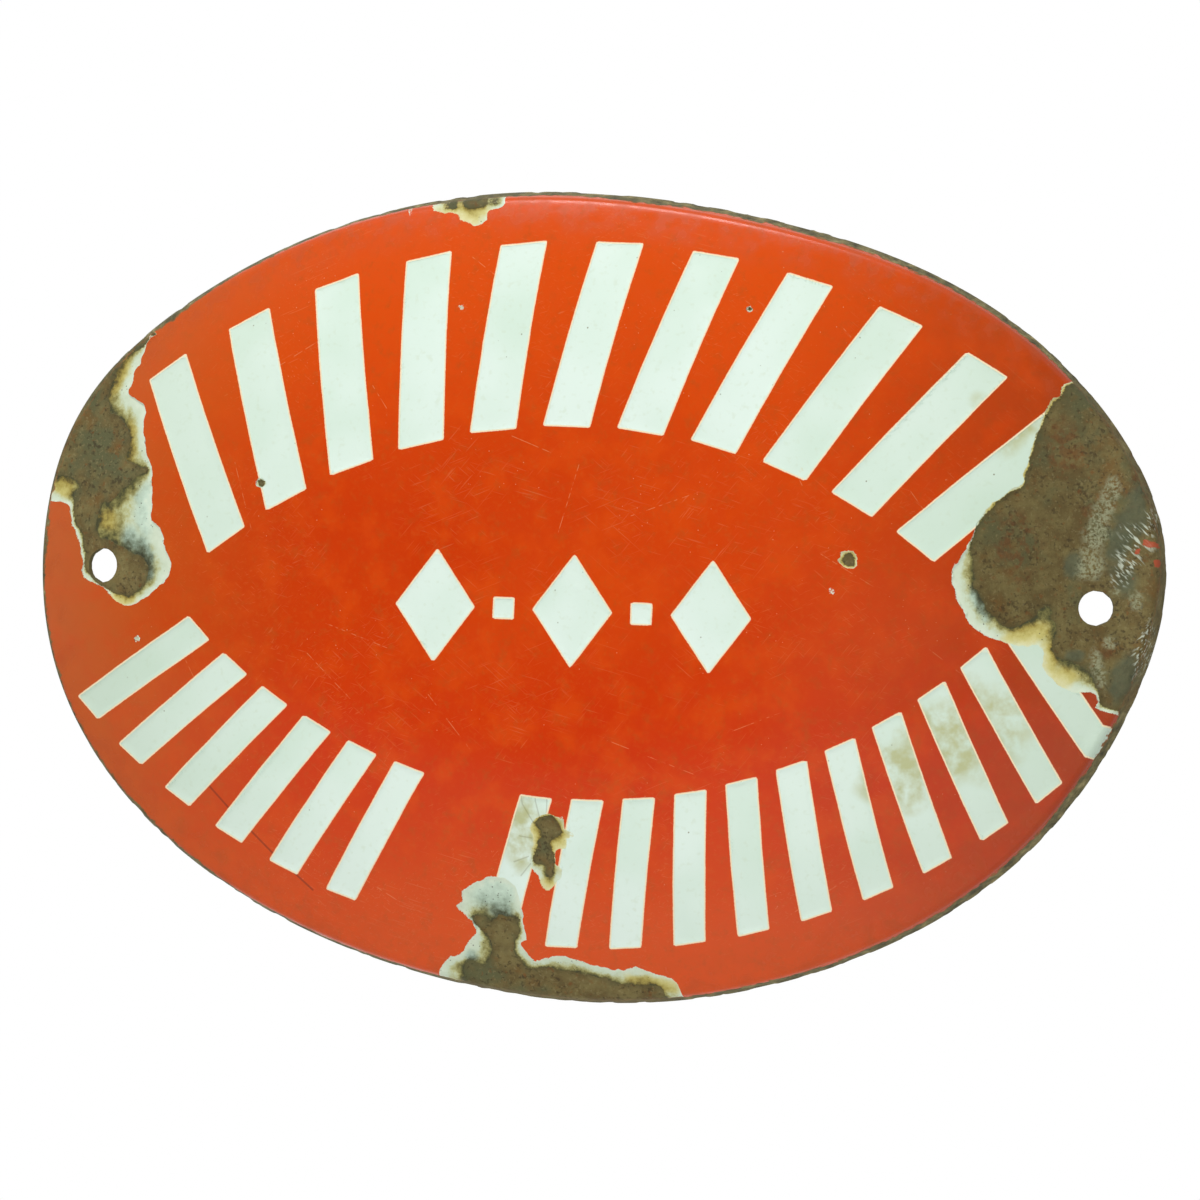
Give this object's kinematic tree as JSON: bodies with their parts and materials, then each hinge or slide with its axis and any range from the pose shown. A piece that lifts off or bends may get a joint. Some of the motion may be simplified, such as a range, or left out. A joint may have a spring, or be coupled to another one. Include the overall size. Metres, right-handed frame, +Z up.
{
  "type": "enamelled sign plate",
  "caption": "Oval domed sheet-steel sign plate with a turned-back rim, two fixing holes and worn vitreous enamel in red with plain white bars",
  "frame": {"origin": "the middle of the oval, on the wall plane that the rim's edge stands on", "axes": "+X along the plate, +Z up, the domed face towards -Y and the wall towards +Y"},
  "size_m": [0.3111, 0.022, 0.2165],
  "materials": {
    "enamelled_steel": "glossy vitreous enamel in red over white over a dark ground coat, chipped to brown rusty steel at both ends, at the foot and along the rim"
  },
  "bodies": {
    "root": {"sign_plate": "enamelled_steel"}
  },
  "joints": []
}
